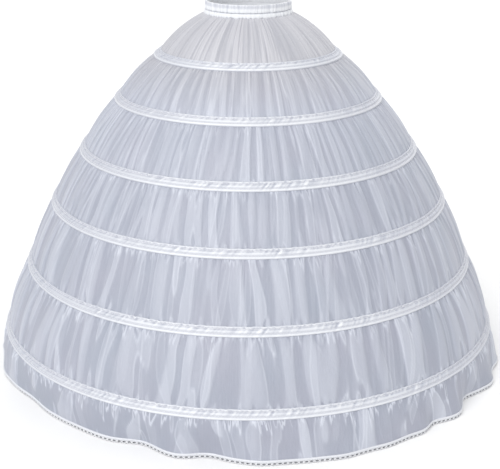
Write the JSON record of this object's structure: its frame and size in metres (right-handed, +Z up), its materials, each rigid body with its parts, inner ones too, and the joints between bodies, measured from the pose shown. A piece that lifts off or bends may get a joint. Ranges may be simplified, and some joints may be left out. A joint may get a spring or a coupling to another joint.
{
  "type": "hoop petticoat",
  "caption": "Bell-shaped white petticoat on flat steel hoops sewn into satin casings, with gathered taffeta tiers, a lace-edged flounce and an elastic waistband.",
  "frame": {"origin": "on the axis of the waist opening, at the middle of the waistband's height", "axes": "+Z up along the skirt's axis, towards the wearer's head; -Y is the wearer's front; the hoops' joins lie at +Y, the back"},
  "size_m": [1.2454, 1.2456, 0.874],
  "materials": {
    "skirt_taffeta": "white polyester taffeta, gathered, soft satin sheen",
    "casing_satin": "white satin tape, stitched over each hoop",
    "waist_satin": "white satin, ruched over elastic",
    "hem_taffeta": "white rolled hem of the taffeta",
    "picot_lace": "white cotton picot edging",
    "elastic": "white knitted elastic, ribbed",
    "coated_spring_steel": "flat spring steel in a white nylon coat",
    "sleeve_steel": "bright crimped steel sleeve"
  },
  "bodies": {
    "root": {"waistband": "waist_satin", "waist_elastic": "elastic", "waist_binding": "waist_satin", "tier_1": "skirt_taffeta", "tier_2": "skirt_taffeta", "tier_3": "skirt_taffeta", "tier_4": "skirt_taffeta", "tier_5": "skirt_taffeta", "tier_6": "skirt_taffeta", "flounce": "skirt_taffeta", "casing_1": "casing_satin", "casing_2": "casing_satin", "casing_3": "casing_satin", "casing_4": "casing_satin", "casing_5": "casing_satin", "casing_6": "casing_satin", "hem_binding": "hem_taffeta", "hem_lace": "picot_lace", "hoop_1": "coated_spring_steel", "hoop_2": "coated_spring_steel", "hoop_3": "coated_spring_steel", "hoop_4": "coated_spring_steel", "hoop_5": "coated_spring_steel", "hoop_6": "coated_spring_steel", "hoop_sleeve_1": "sleeve_steel", "hoop_sleeve_2": "sleeve_steel", "hoop_sleeve_3": "sleeve_steel", "hoop_sleeve_4": "sleeve_steel", "hoop_sleeve_5": "sleeve_steel", "hoop_sleeve_6": "sleeve_steel"}
  },
  "joints": []
}
